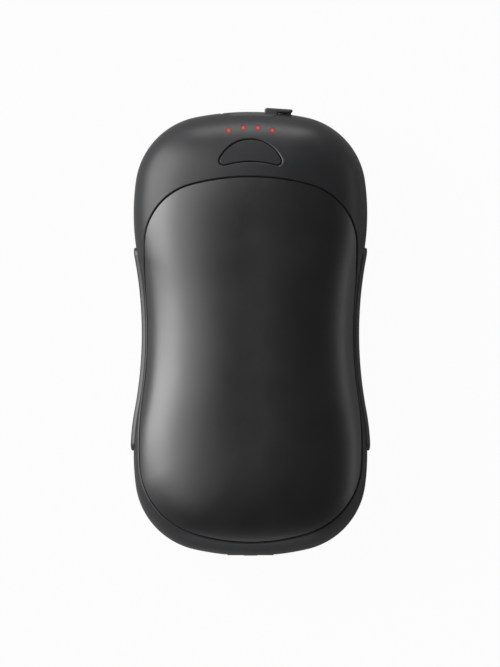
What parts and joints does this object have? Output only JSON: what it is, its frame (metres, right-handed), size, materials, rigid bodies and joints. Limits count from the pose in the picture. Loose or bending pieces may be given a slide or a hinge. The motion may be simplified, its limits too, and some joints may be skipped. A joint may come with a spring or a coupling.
{
  "type": "rechargeable hand warmer",
  "caption": "Pebble-shaped rechargeable hand warmer with a heat plate on each face, push button, indicator lights, flapped charging port and strap bar.",
  "frame": {"origin": "middle of the footprint of the whole part, on the flat middle of the rear heat plate, which it lies on", "axes": "+Z out of the front heat plate, +Y along the length towards the button, lights and charging port, +X to the right as seen from the front"},
  "size_m": [0.0648, 0.1212, 0.028],
  "materials": {
    "housing_plastic": "fine matte",
    "heat_plate_aluminium": "blasted and dyed black",
    "gasket_adhesive": "matte",
    "grip_rubber": "matte",
    "button_plastic": "matte",
    "light_guide_plastic": "clear, lit red",
    "flap_plastic": "matte",
    "pin_steel": "ground",
    "insert_plastic": "matte",
    "bar_steel": "dark satin coat",
    "screw_steel": "zinc plated",
    "cell_can": "coloured sleeve",
    "ring_card": "matte",
    "nickel": "bright",
    "bracket_plastic": "matte",
    "heater_film": "clear amber",
    "insulation_foam": "soft foam",
    "sensor_epoxy": "gloss",
    "board_laminate": "solder mask",
    "connector_plastic": "matte",
    "connector_steel": "plated",
    "switch_plastic": "matte",
    "plunger_plastic": "gloss",
    "led_body": "gloss",
    "inductor_ferrite": "matte",
    "chip_epoxy": "matte",
    "capacitor_ceramic": "gloss",
    "lead_red": "satin",
    "lead_black": "satin",
    "lead_white": "satin"
  },
  "bodies": {
    "housing": {"front_cover": "housing_plastic", "rear_cover": "housing_plastic", "front_heat_plate": "heat_plate_aluminium", "rear_heat_plate": "heat_plate_aluminium", "front_gasket": "gasket_adhesive", "rear_gasket": "gasket_adhesive", "side_grip_left": "grip_rubber", "side_grip_right": "grip_rubber", "led_light_guide": "light_guide_plastic", "flap_hinge_pin": "pin_steel", "port_insert": "insert_plastic", "strap_bar": "bar_steel", "cover_screws": "screw_steel", "battery_cell_left": "cell_can", "battery_cell_right": "cell_can", "cell_end_rings": "ring_card", "positive_strip": "nickel", "negative_strip": "nickel", "cell_bracket_upper": "bracket_plastic", "cell_bracket_lower": "bracket_plastic", "front_heater_film": "heater_film", "rear_heater_film": "heater_film", "front_insulation_pad": "insulation_foam", "rear_insulation_pad": "insulation_foam", "temperature_sensor": "sensor_epoxy", "main_board": "board_laminate", "indicator_board": "board_laminate", "board_link": "connector_plastic", "board_screws": "screw_steel", "usb_shell": "connector_steel", "usb_tongue": "connector_plastic", "switch_body": "switch_plastic", "indicator_leds": "led_body", "power_inductor": "inductor_ferrite", "controller_chip": "chip_epoxy", "power_transistors": "chip_epoxy", "chip_capacitors": "capacitor_ceramic", "positive_lead": "lead_red", "negative_lead": "lead_black", "front_heater_leads": "lead_white", "rear_heater_leads": "lead_white"},
    "button": {"power_button": "button_plastic"},
    "plunger": {"switch_plunger": "plunger_plastic"},
    "flap": {"port_flap": "flap_plastic"}
  },
  "joints": [
    {"name": "power_button_press", "type": "slide", "parent": "housing", "child": "button", "axis": [0, 0, -1], "range_m": [0, 0.0003], "stiffness_N_per_m": 2000, "springref_m": -0.0001},
    {"name": "switch_plunger_press", "type": "slide", "parent": "housing", "child": "plunger", "axis": [0, 0, -1], "range_m": [0, 0.0003]},
    {"name": "port_flap_swing", "type": "hinge", "parent": "housing", "child": "flap", "pos_m": [-0.0071, 0.05828, 0.014], "axis": [0, 0, 1], "range_deg": [0, 90]}
  ],
  "couplings": [
    {"joint": "switch_plunger_press", "follows": "power_button_press", "ratio": 1}
  ]
}
